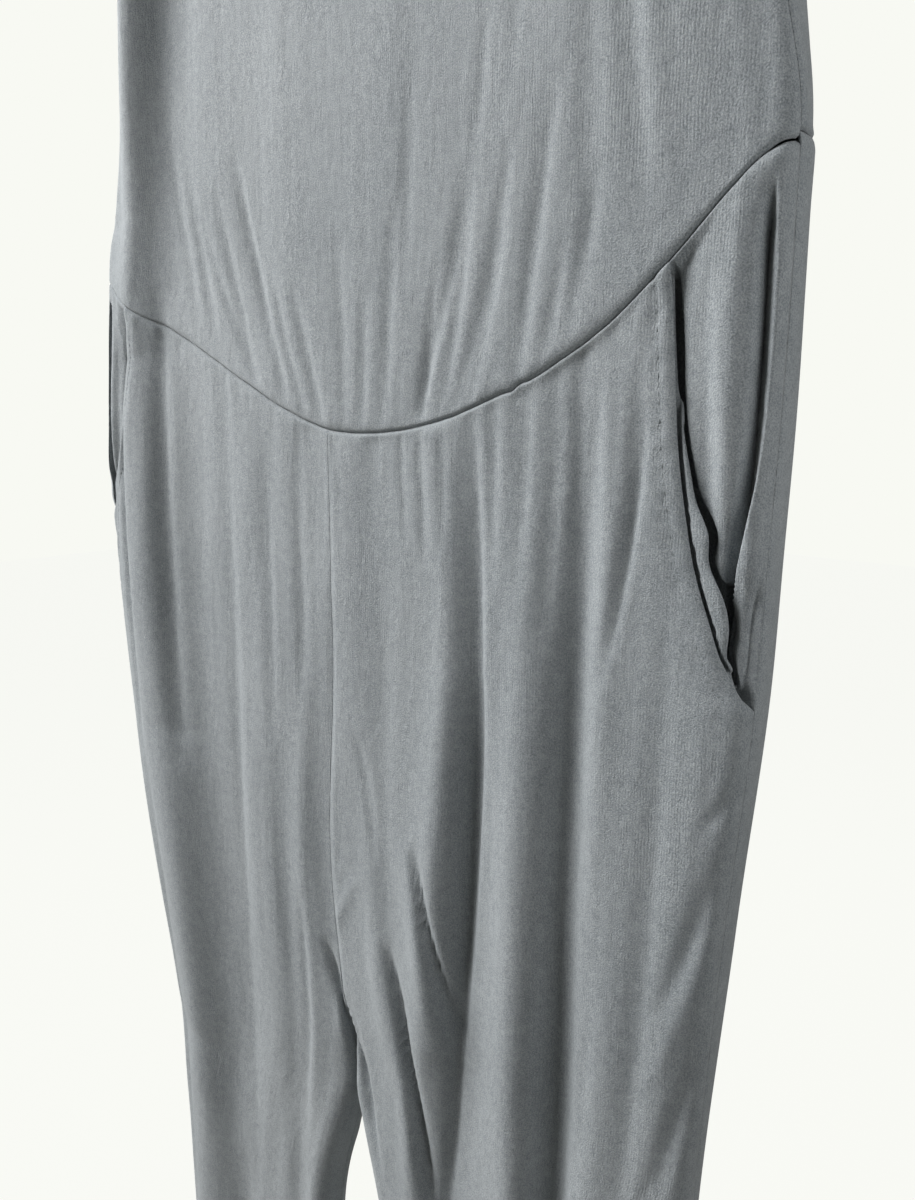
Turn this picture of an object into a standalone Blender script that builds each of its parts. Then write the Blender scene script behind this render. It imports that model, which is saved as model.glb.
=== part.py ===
# Over-bump joggers in soft jersey, hanging by the top of the stretch band.
# Metres. Origin at the middle of the band's top edge, +X to the wearer's left,
# -Y to the front, +Z up. Every cut piece is a closed wall of cloth.

import math
from collections import namedtuple

import bpy
import numpy as np

CLOTH = 0.0012  # wall of the jersey
FACING = 0.0010  # wall of the pocket facing
GAP = 0.0003  # between two pieces at a seam
WAIST = -0.170  # height of the under-bump seam where it meets the side seams
CROTCH = 0.385  # waist seam ends to the crotch
RISE_TURN = 0.055  # length over which the rise curves under to the crotch
HEM = 0.930  # waist seam ends to the top of the cuffs
CUFF = 0.060  # height of a cuff
EDGE_TURN = 0.014  # how far inside a side edge the cloth starts to turn
INSEAM_TURN = 0.012  # the same at the inside of a leg

POCKET_TOP = 0.030  # waist seam ends to the top of the pocket opening
POCKET_END = 0.163  # and to its lower end, on the side seam
BAG_REACH = 0.065  # how far the pocket reaches in from the side edge
BAG_DROP = 0.022  # how far it reaches below the opening
BAG_COVER = 0.0040  # hip piece below the outer surface where the front covers it
BAG_EDGE = 0.0028  # the same along the closed inner edge of the pocket
BAG_DEPTH = 0.0070  # extra depth of the pouch
BAG_START = 0.035  # length over which the pouch and the crease set in below the seam
BAG_STOP = 0.030  # length over which the pouch dies away above its end
BAG_CLOSING = 0.020  # breadth over which it closes towards its inner edge
FACING_WIDTH = 0.018  # breadth of the facing behind the opening's edge
FACING_PROUD = 0.0040  # how far it peeks out at most

FRONT_COLUMNS = (GAP / 2, 0.012, 0.030, 0.050, 0.070, 0.090)  # from the middle
POCKET_COLUMNS = (0.045, 0.031, FACING_WIDTH, 0.011, 0.005, 0)  # inside the opening
HIP_COLUMNS = (BAG_REACH, 0.055, 0.045)  # inside the side edge, behind the front leg
BACK_COLUMNS = (0, 0.07, 0.14, 0.28, 0.46, 0.64, 0.82, 1)  # shares, side seam to middle
BAND_ROWS = 7
TOP_ROWS = 12  # waist seam to the pocket's end
TOP_CROWDING = 0.35  # how much closer these rows stand at the pocket's end
RISE_ROWS = 10  # pocket's end to the crotch
LEG_ROWS = 11  # crotch to the cuffs

JERSEY = (0.175, 0.192, 0.198)
JERSEY_ROUGHNESS = 0.85

# Outline of the hanging garment. below: from the waist seam's ends. left, right:
# side edges of the wearer's left and right. inner: inside of each leg. front, back:
# faces. side: where the side edge lies. forward: side seam in front of that edge.
Ring = namedtuple("Ring", "below left right inner front back side forward")
RINGS = (
    Ring(-0.170, 0.165, 0.152, 0.0, -0.0110, 0.0150, 0.0015, 0.016),
    Ring(-0.105, 0.172, 0.159, 0.0, -0.0115, 0.0170, 0.0020, 0.013),
    Ring(-0.070, 0.178, 0.164, 0.0, -0.0120, 0.0180, 0.0020, 0.010),
    Ring(-0.035, 0.184, 0.172, 0.0, -0.0120, 0.0190, 0.0020, 0.007),
    Ring(-0.008, 0.188, 0.184, 0.0, -0.0120, 0.0195, 0.0020, 0.004),
    Ring(0.020, 0.188, 0.187, 0.0, -0.0120, 0.0200, 0.0020, 0.003),
    Ring(0.076, 0.188, 0.200, 0.0, -0.0125, 0.0200, 0.0015, 0.003),
    Ring(0.116, 0.187, 0.208, 0.0, -0.0125, 0.0200, 0.0010, 0.003),
    Ring(0.163, 0.186, 0.202, 0.0, -0.0125, 0.0200, 0.0010, 0.003),
    Ring(0.244, 0.180, 0.193, 0.0, -0.0125, 0.0195, 0.0010, 0.002),
    Ring(0.330, 0.175, 0.178, 0.0, -0.0120, 0.0175, 0.0010, 0.001),
    Ring(0.385, 0.173, 0.169, 0.0, -0.0120, 0.0150, 0.0010, 0.0),
    Ring(0.460, 0.171, 0.163, 0.019, -0.0120, 0.0125, 0.0005, 0.0),
    Ring(0.600, 0.164, 0.156, 0.028, -0.0125, 0.0125, 0.0, 0.0),
    Ring(0.760, 0.158, 0.153, 0.036, -0.0125, 0.0125, 0.0, 0.0),
    Ring(0.880, 0.152, 0.150, 0.042, -0.0125, 0.0125, 0.0, 0.0),
    Ring(0.930, 0.143, 0.143, 0.047, -0.0130, 0.0130, 0.0, 0.0),
    Ring(0.990, 0.141, 0.141, 0.049, -0.0130, 0.0130, 0.0, 0.0),
)

# Under-bump seam across the front: it hangs a little higher on the wearer's right.
Seam = namedtuple("Seam", "across below")
FRONT_SEAM = (
    Seam(-0.192, 0.000),
    Seam(-0.178, 0.004),
    Seam(-0.155, 0.017),
    Seam(-0.120, 0.033),
    Seam(-0.080, 0.050),
    Seam(-0.034, 0.070),
    Seam(0.000, 0.0800),
    Seam(0.040, 0.0805),
    Seam(0.088, 0.069),
    Seam(0.130, 0.050),
    Seam(0.155, 0.030),
    Seam(0.172, 0.013),
    Seam(0.181, 0.005),
    Seam(0.192, 0.001),
)

# Opening edge of the pocket: how far inside the side edge it runs at each height.
Opening = namedtuple("Opening", "below inset")
POCKET_EDGE = (
    Opening(POCKET_TOP, 0.0335),
    Opening(0.058, 0.0312),
    Opening(0.085, 0.0284),
    Opening(0.105, 0.0245),
    Opening(0.121, 0.0205),
    Opening(0.1375, 0.0143),
    Opening(0.152, 0.0077),
    Opening(POCKET_END, 0.0),
)

# Large folds. start, end: heights below the waist seam's ends. top, middle, foot:
# how far across. width: half width. depth: inward for a trough, minus for a ridge.
Fold = namedtuple("Fold", "start end top middle foot width depth")
FRONT_FOLDS = (
    Fold(0.070, 0.320, 0.081, 0.078, 0.070, 0.010, 0.0030),
    Fold(0.100, 0.640, 0.094, 0.095, 0.096, 0.012, -0.0020),
    Fold(0.070, 0.700, 0.131, 0.116, 0.112, 0.016, 0.0035),
    Fold(0.240, 0.430, 0.070, 0.068, 0.054, 0.009, 0.0045),
    Fold(0.290, 0.430, 0.037, 0.043, 0.055, 0.009, 0.0045),
    Fold(-0.300, 0.060, -0.130, -0.142, -0.150, 0.018, 0.0075),
    Fold(0.110, 0.660, -0.164, -0.154, -0.138, 0.018, 0.0075),
    Fold(0.120, 0.620, -0.090, -0.094, -0.090, 0.013, 0.0025),
    Fold(0.200, 0.620, -0.050, -0.053, -0.060, 0.012, 0.0030),
    Fold(0.420, 0.960, 0.130, 0.120, 0.112, 0.013, 0.0040),
    Fold(0.480, 0.960, 0.065, 0.072, 0.078, 0.011, 0.0040),
    Fold(0.450, 0.960, -0.120, -0.112, -0.110, 0.013, 0.0040),
    Fold(0.520, 0.960, -0.062, -0.070, -0.078, 0.011, 0.0040),
)
BACK_FOLDS = (
    Fold(-0.200, 0.620, 0.136, 0.150, 0.138, 0.015, 0.0070),
    Fold(-0.200, 0.620, -0.134, -0.158, -0.136, 0.015, 0.0075),
    Fold(0.020, 0.480, 0.060, 0.064, 0.074, 0.013, 0.0035),
    Fold(0.040, 0.520, -0.052, -0.058, -0.070, 0.014, 0.0035),
    Fold(0.440, 0.960, 0.116, 0.110, 0.106, 0.012, 0.0040),
    Fold(0.460, 0.960, -0.112, -0.108, -0.104, 0.012, 0.0040),
    Fold(0.520, 0.960, 0.064, 0.072, 0.078, 0.010, 0.0030),
    Fold(0.500, 0.960, -0.060, -0.070, -0.078, 0.010, 0.0030),
)
SIDE_FADE = 0.010  # folds die away this close to a side edge or an inseam

# Deep crease down each hip piece: its distance inside the side edge, and its size.
Crease = namedtuple("Crease", "inset width depth")
HIP_CREASE = {1: Crease(0.0095, 0.0034, 0.0075), -1: Crease(0.0120, 0.0050, 0.0050)}


def between(rows, key, name, at):
    """Column `name` of a table at `at`, on a smooth curve through its rows."""
    knots = np.array([getattr(row, key) for row in rows])
    values = np.array([getattr(row, name) for row in rows])
    slopes = np.gradient(values, knots)
    at = np.clip(at, knots[0], knots[-1])
    i = np.clip(np.searchsorted(knots, at, side="right") - 1, 0, len(knots) - 2)
    span = knots[i + 1] - knots[i]
    t = (at - knots[i]) / span
    rise = 3 * t**2 - 2 * t**3
    value = values[i] * (1 - rise) + values[i + 1] * rise
    lead = slopes[i] * (t**3 - 2 * t**2 + t) + slopes[i + 1] * (t**3 - t**2)
    return value + lead * span


def ease(start, end, at):
    """0 before start, 1 after end, and a soft step between them."""
    t = np.clip((at - start) / (end - start), 0, 1)
    return t * t * (3 - 2 * t)


def ring(side, below):
    """Sizes of one half of the outline at heights `below`."""
    sizes = {name: between(RINGS, "below", name, below) for name in Ring._fields[1:]}
    sizes["edge"] = sizes["left"] if side > 0 else sizes["right"]
    under = ease(CROTCH - RISE_TURN, CROTCH, below)
    legs = np.clip((below - CROTCH) / 0.02, 0, 1)
    sizes["inner"] = np.maximum(sizes["inner"] * ease(0, 1, legs), GAP / 2)
    sizes["turn"] = np.maximum(INSEAM_TURN * under, 1e-6)
    sizes["under"] = under
    return sizes


def run_length(size, face):
    """Lengths of the turn at the inner edge, the flat and the turn at the side."""
    tuck = (size["side"] - size[face]) * size["under"]
    drop = size["side"] - size[face]
    inner = math.pi / 2 * np.sqrt((size["turn"] ** 2 + tuck**2) / 2)
    outer = math.pi / 2 * np.sqrt((EDGE_TURN**2 + drop**2) / 2)
    flat = size["edge"] - EDGE_TURN - size["inner"] - size["turn"]
    return tuck, drop, inner, flat, outer


def face_point(size, face, run):
    """(x, y) at distance `run` along one face, from its inner edge to the side."""
    tuck, drop, inner, flat, outer = run_length(size, face)
    first = np.clip(run / inner, 0, 1) * math.pi / 2
    last = np.clip((run - inner - flat) / outer, 0, 1) * math.pi / 2
    x = size["inner"] + size["turn"] * (1 - np.cos(first))
    x = x + np.clip(run - inner, 0, flat) + EDGE_TURN * np.sin(last)
    y = size[face] + tuck * (1 - np.sin(first)) + drop * (1 - np.cos(last))
    return x, y


def fold_depth(folds, across, below):
    """How far the folds push one face of the outline inward."""
    total = np.zeros(np.broadcast(across, below).shape)
    for fold in folds:
        t = np.clip((below - fold.start) / (fold.end - fold.start), 0, 1)
        path = fold.top * (1 - t) ** 2 + fold.foot * t**2
        path = path + (2 * fold.middle - (fold.top + fold.foot) / 2) * 2 * t * (1 - t)
        away = (across - path) / fold.width
        total = total + fold.depth * np.exp(-(away**2)) * np.sin(math.pi * t) ** 0.7
    return total


def outline(side, run, below):
    """Point of the garment's outer surface: `run` goes round one half of it."""
    size = ring(side, below)
    front_length = sum(run_length(size, "front")[2:])
    back_length = sum(run_length(size, "back")[2:])
    front_x, front_y = face_point(size, "front", run)
    back_x, back_y = face_point(size, "back", front_length + back_length - run)
    is_front = run <= front_length
    x = np.where(is_front, front_x, back_x)
    y = np.where(is_front, front_y, back_y)
    calm = ease(0, SIDE_FADE, size["edge"] - x)
    calm = calm * (1 - size["under"] * (1 - ease(0, SIDE_FADE, x - size["inner"])))
    push_front = fold_depth(FRONT_FOLDS, side * x, below)
    push_back = fold_depth(BACK_FOLDS, side * x, below)
    y = y + calm * np.where(is_front, push_front, -push_back)
    return np.stack([side * x, y, WAIST - below + 0 * x], axis=-1)


def surface(side, run, below, depth):
    """Point `depth` under the outer surface, square to it."""
    step = 1e-4
    along = outline(side, run + step, below) - outline(side, run - step, below)
    down = outline(side, run, below + step) - outline(side, run, below - step)
    normal = side * np.cross(down, along)
    normal = normal / np.linalg.norm(normal, axis=-1, keepdims=True)
    return outline(side, run, below) - normal * np.asarray(depth)[..., None]


def run_of(side, across, below):
    """Distance along the front face of the points `across` from the middle."""
    size = ring(side, below)
    tuck, drop, inner, flat, outer = run_length(size, "front")
    beyond = np.clip((across - size["edge"] + EDGE_TURN) / EDGE_TURN, 0, 1)
    straight = inner + np.minimum(across - size["inner"] - size["turn"], flat)
    return straight + np.arcsin(beyond) * 2 / math.pi * outer


def side_seam(side, below):
    """Distance along the front face to the side seam."""
    size = ring(side, below)
    return sum(run_length(size, "front")[2:]) - size["forward"]


def seam_below(side, across):
    return between(FRONT_SEAM, "across", "below", side * across)


def edge_across(side, below):
    """How far across the front leg's outer edge runs: pocket opening, then side."""
    return ring(side, below)["edge"] - between(POCKET_EDGE, "below", "inset", below)


def leg_rows():
    """Heights of the rows of a leg, below the pocket's end."""
    rise = np.linspace(POCKET_END, CROTCH, RISE_ROWS + 1)
    legs = np.linspace(CROTCH, HEM, LEG_ROWS + 1)
    return np.concatenate([rise[1:], legs[1:]])


def pocket_corner(side):
    """How far across the pocket's opening meets the waist seam."""
    below = POCKET_TOP
    for _ in range(6):
        below = seam_below(side, edge_across(side, below))
    return float(edge_across(side, below))


def front_columns(side):
    """Places of the front leg's columns along the waist seam."""
    top = pocket_corner(side)
    return np.array(FRONT_COLUMNS + tuple(top - reach for reach in POCKET_COLUMNS))


def top_shares():
    """Shares of the way from the waist seam to the pocket's end, closer at its end."""
    share = np.linspace(0, 1, TOP_ROWS + 1)
    return share * (1 + TOP_CROWDING - TOP_CROWDING * share)


def inner_run(below):
    """Where a leg panel starts: half a seam gap from the inseam."""
    return GAP / 2 * ease(CROTCH - RISE_TURN, CROTCH, below)


def front_leg(side):
    """Rows of (run, below) of a front leg."""
    tops = front_columns(side)
    start = seam_below(side, tops) + GAP / 2
    share = top_shares()[:, None]
    below = start * (1 - share) + POCKET_END * share
    outer = run_of(side, edge_across(side, below[:, -1]), below[:, -1])
    outer[-1] = side_seam(side, below[-1, -1]) - GAP / 2
    lower = leg_rows()
    below = np.concatenate([below, np.repeat(lower[:, None], len(tops), 1)])
    below[-1] -= GAP / 2
    outer = np.concatenate([outer, side_seam(side, lower) - GAP / 2])
    first = inner_run(below[:, :1])
    run = first + (outer[:, None] - first) * (tops - tops[0]) / (tops[-1] - tops[0])
    return run, below


def back_columns(side, below):
    """Runs of the back leg's columns, from the side seam to the middle."""
    size = ring(side, below)
    start = side_seam(side, below) + GAP / 2
    end = sum(run_length(size, "front")[2:]) + sum(run_length(size, "back")[2:])
    end = end - inner_run(below)
    shares = np.array(BACK_COLUMNS)
    return start[:, None] * (1 - shares) + end[:, None] * shares


def back_leg(side):
    share = top_shares()
    below = np.concatenate([GAP / 2 * (1 - share) + POCKET_END * share, leg_rows()])
    below[-1] -= GAP / 2
    run = back_columns(side, below)
    return run, np.repeat(below[:, None], run.shape[1], 1)


def hip_insets(side):
    """Insets of the hip piece's columns from the side edge, inner edge first."""
    crease = HIP_CREASE[side]
    lip = 1.3 * crease.width
    shown = (POCKET_EDGE[0].inset, 0.024, 0.017, crease.inset + lip, crease.inset)
    return np.array(HIP_COLUMNS + shown + (crease.inset - lip, 0.002))


def hip_tops(side):
    """(across, below) where the hip piece's columns meet the waist seam."""
    below = np.full(len(hip_insets(side)), 0.02)
    for _ in range(6):
        across = ring(side, below)["edge"] - hip_insets(side)
        below = seam_below(side, across)
    below[-1] = 0
    return across, below


def hip(side):
    """(run, below, depth) of the hip piece, which is also the back of the pocket."""
    insets = hip_insets(side)
    start = hip_tops(side)[1] + GAP / 2
    end = POCKET_END + BAG_DROP * ease(0.004, 0.030, insets) - GAP
    share = top_shares()[:, None]
    below = start * (1 - share) + end * share
    across = ring(side, below)["edge"] - insets
    run = run_of(side, across, below)
    run[:, -1] = side_seam(side, below[:, -1]) - GAP / 2
    past = between(POCKET_EDGE, "below", "inset", below) - insets
    covered = 1 - ease(0.001, 0.007, past)
    closed = ease(BAG_REACH - BAG_CLOSING, BAG_REACH, insets)
    level = BAG_COVER + (BAG_EDGE - BAG_COVER) * closed
    crease = HIP_CREASE[side]
    pouch = (1 - closed) * ease(crease.inset, crease.inset + 0.007, insets)
    setting_in = ease(0.004, BAG_START, below - start)
    pouch = pouch * setting_in * (1 - ease(end - BAG_STOP, end, below))
    groove = np.exp(-(((insets - crease.inset) / crease.width) ** 2)) * setting_in
    depth = level * covered + BAG_DEPTH * pouch + crease.depth * groove
    return run, below, depth


def facing(side):
    """(run, below) of the strip behind the opening, from the front leg's points."""
    run, below = (grid[: TOP_ROWS + 1, -4:] for grid in front_leg(side))
    share = np.linspace(0, 1, TOP_ROWS + 1)
    proud = 2 * GAP + FACING_PROUD * np.sin(math.pi * share) ** 2 * ease(0.2, 0.6, share)
    run = np.concatenate([run, run[:, -1:] + proud[:, None]], axis=1)
    below = np.concatenate([below, below[:, -1:]], axis=1)
    return run[:-1], below[:-1]


def band_front_half(side):
    """(run, below) of one half of the front band, middle first."""
    shown = hip_insets(side) < POCKET_EDGE[0].inset
    inside = front_columns(side)
    across, lower = (
        np.concatenate([leg, hips[shown]])
        for leg, hips in zip((inside, seam_below(side, inside)), hip_tops(side))
    )
    lower = lower - GAP / 2
    share = np.linspace(0, 1, BAND_ROWS + 1)[:, None]
    below = WAIST * (1 - share) + lower * share
    outer = side_seam(side, below[:, -1]) - GAP / 2
    foot = run_of(side, across, lower)
    foot[-1] = outer[-1]
    run = foot * (outer / foot[-1])[:, None]
    run[:, 0] = 0
    return run, below


def band_back_half(side):
    share = np.linspace(0, 1, BAND_ROWS + 1)
    below = WAIST * (1 - share) - GAP / 2 * share
    run = back_columns(side, below)
    return run, np.repeat(below[:, None], run.shape[1], 1)


def jersey(name):
    material = bpy.data.materials.new(name)
    material.use_nodes = True
    shader = material.node_tree.nodes["Principled BSDF"]
    shader.inputs["Base Color"].default_value = (*JERSEY, 1)
    shader.inputs["Roughness"].default_value = JERSEY_ROUGHNESS
    shader.inputs["Metallic"].default_value = 0
    return material


def wall(name, outer, inner, ring_shaped=False):
    """Closed wall between two grids of points, as one object."""
    rows, columns = outer.shape[:2]
    points = np.concatenate([outer.reshape(-1, 3), inner.reshape(-1, 3)])
    shift = rows * columns

    def at(row, column, layer):
        return row * columns + column % columns + layer * shift

    spans = columns if ring_shaped else columns - 1
    faces = []
    for row in range(rows - 1):
        for column in range(spans):
            quad = [(row, column), (row, column + 1)]
            quad += [(row + 1, column + 1), (row + 1, column)]
            faces.append([at(*corner, 0) for corner in quad])
            faces.append([at(*corner, 1) for corner in quad[:1] + quad[:0:-1]])
    for column in range(spans):
        for row, ends in ((0, (column + 1, column)), (rows - 1, (column, column + 1))):
            first, second = ends
            faces.append([at(row, first, 0), at(row, second, 0)])
            faces[-1] += [at(row, second, 1), at(row, first, 1)]
    if not ring_shaped:
        for row in range(rows - 1):
            for column, ends in ((0, (row, row + 1)), (columns - 1, (row + 1, row))):
                first, second = ends
                faces.append([at(first, column, 0), at(second, column, 0)])
                faces[-1] += [at(second, column, 1), at(first, column, 1)]
    mesh = bpy.data.meshes.new(name)
    mesh.from_pydata(points.tolist(), [], faces)
    if np.linalg.det(triangles(mesh)).sum() < 0:
        mesh.flip_normals()
    mesh.shade_smooth()
    mesh.set_sharp_from_angle(angle=math.radians(50))
    mesh.materials.append(jersey(name))
    piece = bpy.data.objects.new(name, mesh)
    bpy.context.collection.objects.link(piece)
    return piece


def triangles(mesh):
    """Corner points of a mesh's triangles."""
    mesh.calc_loop_triangles()
    faces = [face.vertices for face in mesh.loop_triangles]
    return np.array([[mesh.vertices[i].co for i in face] for face in faces])


def layer(side, run, below, depth, thickness):
    """Outer and inner grids of a wall of cloth."""
    depth = np.broadcast_to(depth, run.shape)
    outer = surface(side, run, below, depth)
    return outer, surface(side, run, below, depth + thickness)


def joined(halves):
    """One grid from the right half, turned round, and the left half."""
    left, right = halves
    return np.concatenate([right[:, :0:-1], left], axis=1)


def middle_line(grid):
    """The middle column of a half, brought onto the plane of symmetry."""
    grid[:, 0, 0] = 0
    return grid


def build_legs(side, name):
    run, below = front_leg(side)
    wall("leg_front_" + name, *layer(side, run, below, 0, CLOTH))
    back_run, back_below = back_leg(side)
    wall("leg_back_" + name, *layer(side, back_run, back_below, 0, CLOTH))
    run, below, depth = hip(side)
    wall("hip_" + name, *layer(side, run, below, depth, CLOTH))
    run, below = facing(side)
    wall("pocket_facing_" + name, *layer(side, run, below, CLOTH + GAP, FACING))


def build_cuff(side, name):
    """Short tube sewn to the foot of a leg, through that leg's last row."""
    front_run = front_leg(side)[0][-1]
    back_run = back_leg(side)[0][-1]
    run = np.concatenate([front_run, back_run[1:-1]])
    rows = np.linspace(HEM + GAP / 2, HEM + CUFF, 3)
    grid = np.repeat(run[None], len(rows), 0)
    ratio = np.array([whole_run(side, row) / whole_run(side, HEM) for row in rows])
    grid = grid * ratio[:, None]
    below = np.repeat(rows[:, None], len(run), 1)
    wall("cuff_" + name, *layer(side, grid, below, 0, CLOTH), ring_shaped=True)


def whole_run(side, below):
    size = ring(side, np.array(below))
    return sum(run_length(size, "front")[2:]) + sum(run_length(size, "back")[2:])


def build_band():
    for name, half in (("band_front", band_front_half), ("band_back", band_back_half)):
        sides = []
        for side in (1, -1):
            run, below = half(side)
            if name == "band_back":
                run, below = run[:, ::-1], below[:, ::-1]
            sides.append([middle_line(grid) for grid in layer(side, run, below, 0, CLOTH)])
        wall(name, joined([left[0] for left in sides]), joined([left[1] for left in sides]))


def main():
    for old in list(bpy.data.objects):
        bpy.data.objects.remove(old, do_unlink=True)
    build_band()
    for side, name in ((1, "left"), (-1, "right")):
        build_legs(side, name)
        build_cuff(side, name)


main()
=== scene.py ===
import math
from collections import namedtuple

import bpy
import numpy as np
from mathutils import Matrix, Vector


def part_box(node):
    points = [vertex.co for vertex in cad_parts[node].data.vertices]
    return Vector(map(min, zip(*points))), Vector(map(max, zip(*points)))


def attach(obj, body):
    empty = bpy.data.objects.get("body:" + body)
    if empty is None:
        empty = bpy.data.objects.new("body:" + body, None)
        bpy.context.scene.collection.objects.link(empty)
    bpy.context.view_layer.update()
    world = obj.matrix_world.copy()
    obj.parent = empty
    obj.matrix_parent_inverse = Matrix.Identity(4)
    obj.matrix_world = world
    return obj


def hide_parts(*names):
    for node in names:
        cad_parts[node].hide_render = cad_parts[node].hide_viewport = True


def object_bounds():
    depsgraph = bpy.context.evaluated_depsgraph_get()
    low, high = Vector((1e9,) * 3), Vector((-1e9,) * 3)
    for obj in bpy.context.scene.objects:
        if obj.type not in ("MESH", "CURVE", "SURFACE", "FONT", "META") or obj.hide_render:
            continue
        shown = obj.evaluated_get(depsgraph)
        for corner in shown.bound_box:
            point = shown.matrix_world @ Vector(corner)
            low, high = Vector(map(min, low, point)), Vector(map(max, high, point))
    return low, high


# Over-bump joggers in soft jersey, hanging filled out from the top of the stretch band.
# +X is the wearer's left, -Y the front. Metres, but the rows of the tables in millimetres.
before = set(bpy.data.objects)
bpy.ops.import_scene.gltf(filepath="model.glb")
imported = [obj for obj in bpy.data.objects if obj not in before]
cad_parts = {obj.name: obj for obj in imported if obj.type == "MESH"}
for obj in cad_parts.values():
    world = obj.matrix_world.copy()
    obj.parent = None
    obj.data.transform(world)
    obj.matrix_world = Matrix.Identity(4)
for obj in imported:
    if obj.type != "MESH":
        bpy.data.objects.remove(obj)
cadBox = [list(corner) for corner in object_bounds()]
print("frame loaded:", len(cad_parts), "pieces")

waistZ = (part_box("band_back")[0].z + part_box("leg_back_left")[1].z) / 2  # ends of the waist seam
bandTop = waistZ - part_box("band_back")[1].z  # minus: above the waist seam's ends
hem = waistZ - (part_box("cuff_left")[1].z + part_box("leg_back_left")[0].z) / 2
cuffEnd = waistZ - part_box("cuff_left")[0].z
sides = ((1, "left"), (-1, "right"))

cut = dict(
    gap=0.00008,  # between two pieces at a seam
    wall=0.0009,  # the jersey itself
    crotch=0.385,  # waist seam ends to the crotch
    riseTurn=0.055,  # length over which the rise turns under
    legStart=0.020,  # and over which the legs part below it
    edgeTurn=0.014,  # breadth of the turn at a side edge
    inseamTurn=0.012,  # and at the inside of a leg
    pocketTop=0.030,
    pocketEnd=0.163,
    bagReach=0.056,  # pocket bag, inwards from the side edge
    bagDrop=0.022,  # and below the opening's end
)


def table(kind, rows, lengths=8):
    # rows in millimetres to named rows in metres; what follows the lengths has no unit
    return [kind(*[size / 1000 for size in row[:lengths]], *row[lengths:]) for row in rows]


# Outline of the hanging garment. below: from the ends of the waist seam. left, right:
# side edges. inner: inside of each leg. front, back: faces. side: where the side edge
# lies. forward: side seam in front of that edge.
Ring = namedtuple("Ring", "below left right inner front back side forward")
rings = table(Ring, [
    (-170, 165, 149, 0, -11, 15, 1.5, 16),
    (-105, 172, 157, 0, -11.5, 17, 2, 13),
    (-70, 178, 161, 0, -12, 18, 2, 10),
    (-35, 184, 172, 0, -12, 19, 2, 7),
    (-8, 188, 181, 0, -12, 19.5, 2, 4),
    (20, 188, 183, 0, -12, 20, 2, 3),
    (76, 188, 191, 0, -12.5, 20, 1.5, 3),
    (116, 187, 200, 0, -12.5, 20, 1, 3),
    (163, 186, 194, 0, -12.5, 20, 1, 3),
    (244, 180, 183, 0, -12.5, 19.5, 1, 2),
    (330, 175, 171, 0, -12, 17.5, 1, 1),
    (385, 173, 164, 0, -12, 15, 1, 0),
    (460, 171, 160, 19, -12, 12.5, 0.5, 0),
    (600, 164, 156, 28, -12.5, 12.5, 0, 0),
    (760, 158, 153, 36, -12.5, 12.5, 0, 0),
    (880, 152, 150, 42, -12.5, 12.5, 0, 0),
    (930, 143, 143, 47, -13, 13, 0, 0),
    (990, 141, 141, 49, -13, 13, 0, 0),
])

# Waist seam across the front, under the bump.
Seam = namedtuple("Seam", "across below")
frontSeam = table(Seam, [
    (-192, 0),
    (-178, 4),
    (-155, 17),
    (-120, 33),
    (-80, 50),
    (-34, 70),
    (0, 80),
    (40, 80.5),
    (88, 69),
    (130, 50),
    (155, 30),
    (172, 13),
    (181, 5),
    (192, 1),
])

# Opening edge of the pocket, inside the side edge.
Opening = namedtuple("Opening", "below inset")
pocketEdge = table(Opening, [
    (30, 33.5),
    (58, 31.2),
    (85, 28.4),
    (105, 24.5),
    (121, 20.5),
    (137.5, 14.3),
    (152, 7.7),
    (163, 0),
])

# How deep the hip piece dives behind the opening, how wide that gap is, and how far the
# facing shows past the edge.
Mouth = namedtuple("Mouth", "below depth gap proud")
mouth = table(Mouth, [
    (28, 5, 1, 0),
    (40, 9, 2, 0),
    (55, 10.5, 2.6, 0),
    (66, 10, 2, 0.2),
    (76, 9, 1.3, 1.2),
    (90, 8, 1, 2.7),
    (100, 8.5, 1.3, 3.6),
    (110, 9.5, 2.4, 6.4),
    (119, 8, 1.1, 5),
    (130, 9.2, 2, 7.3),
    (138, 9, 1.6, 5.8),
    (147, 8, 1.6, 2),
    (156, 7, 1.6, 0),
    (163, 5, 1.2, 0),
])

# Deep crease of each hip piece, measured from the side edge.
Crease = namedtuple("Crease", "below left right")
hipCrease = table(Crease, [
    (6, 7, 14),
    (30, 6.4, 13),
    (60, 6.2, 12),
    (90, 6.8, 11.6),
    (115, 9, 11.2),
    (135, 10.6, 10.8),
    (165, 11, 10.4),
])

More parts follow.
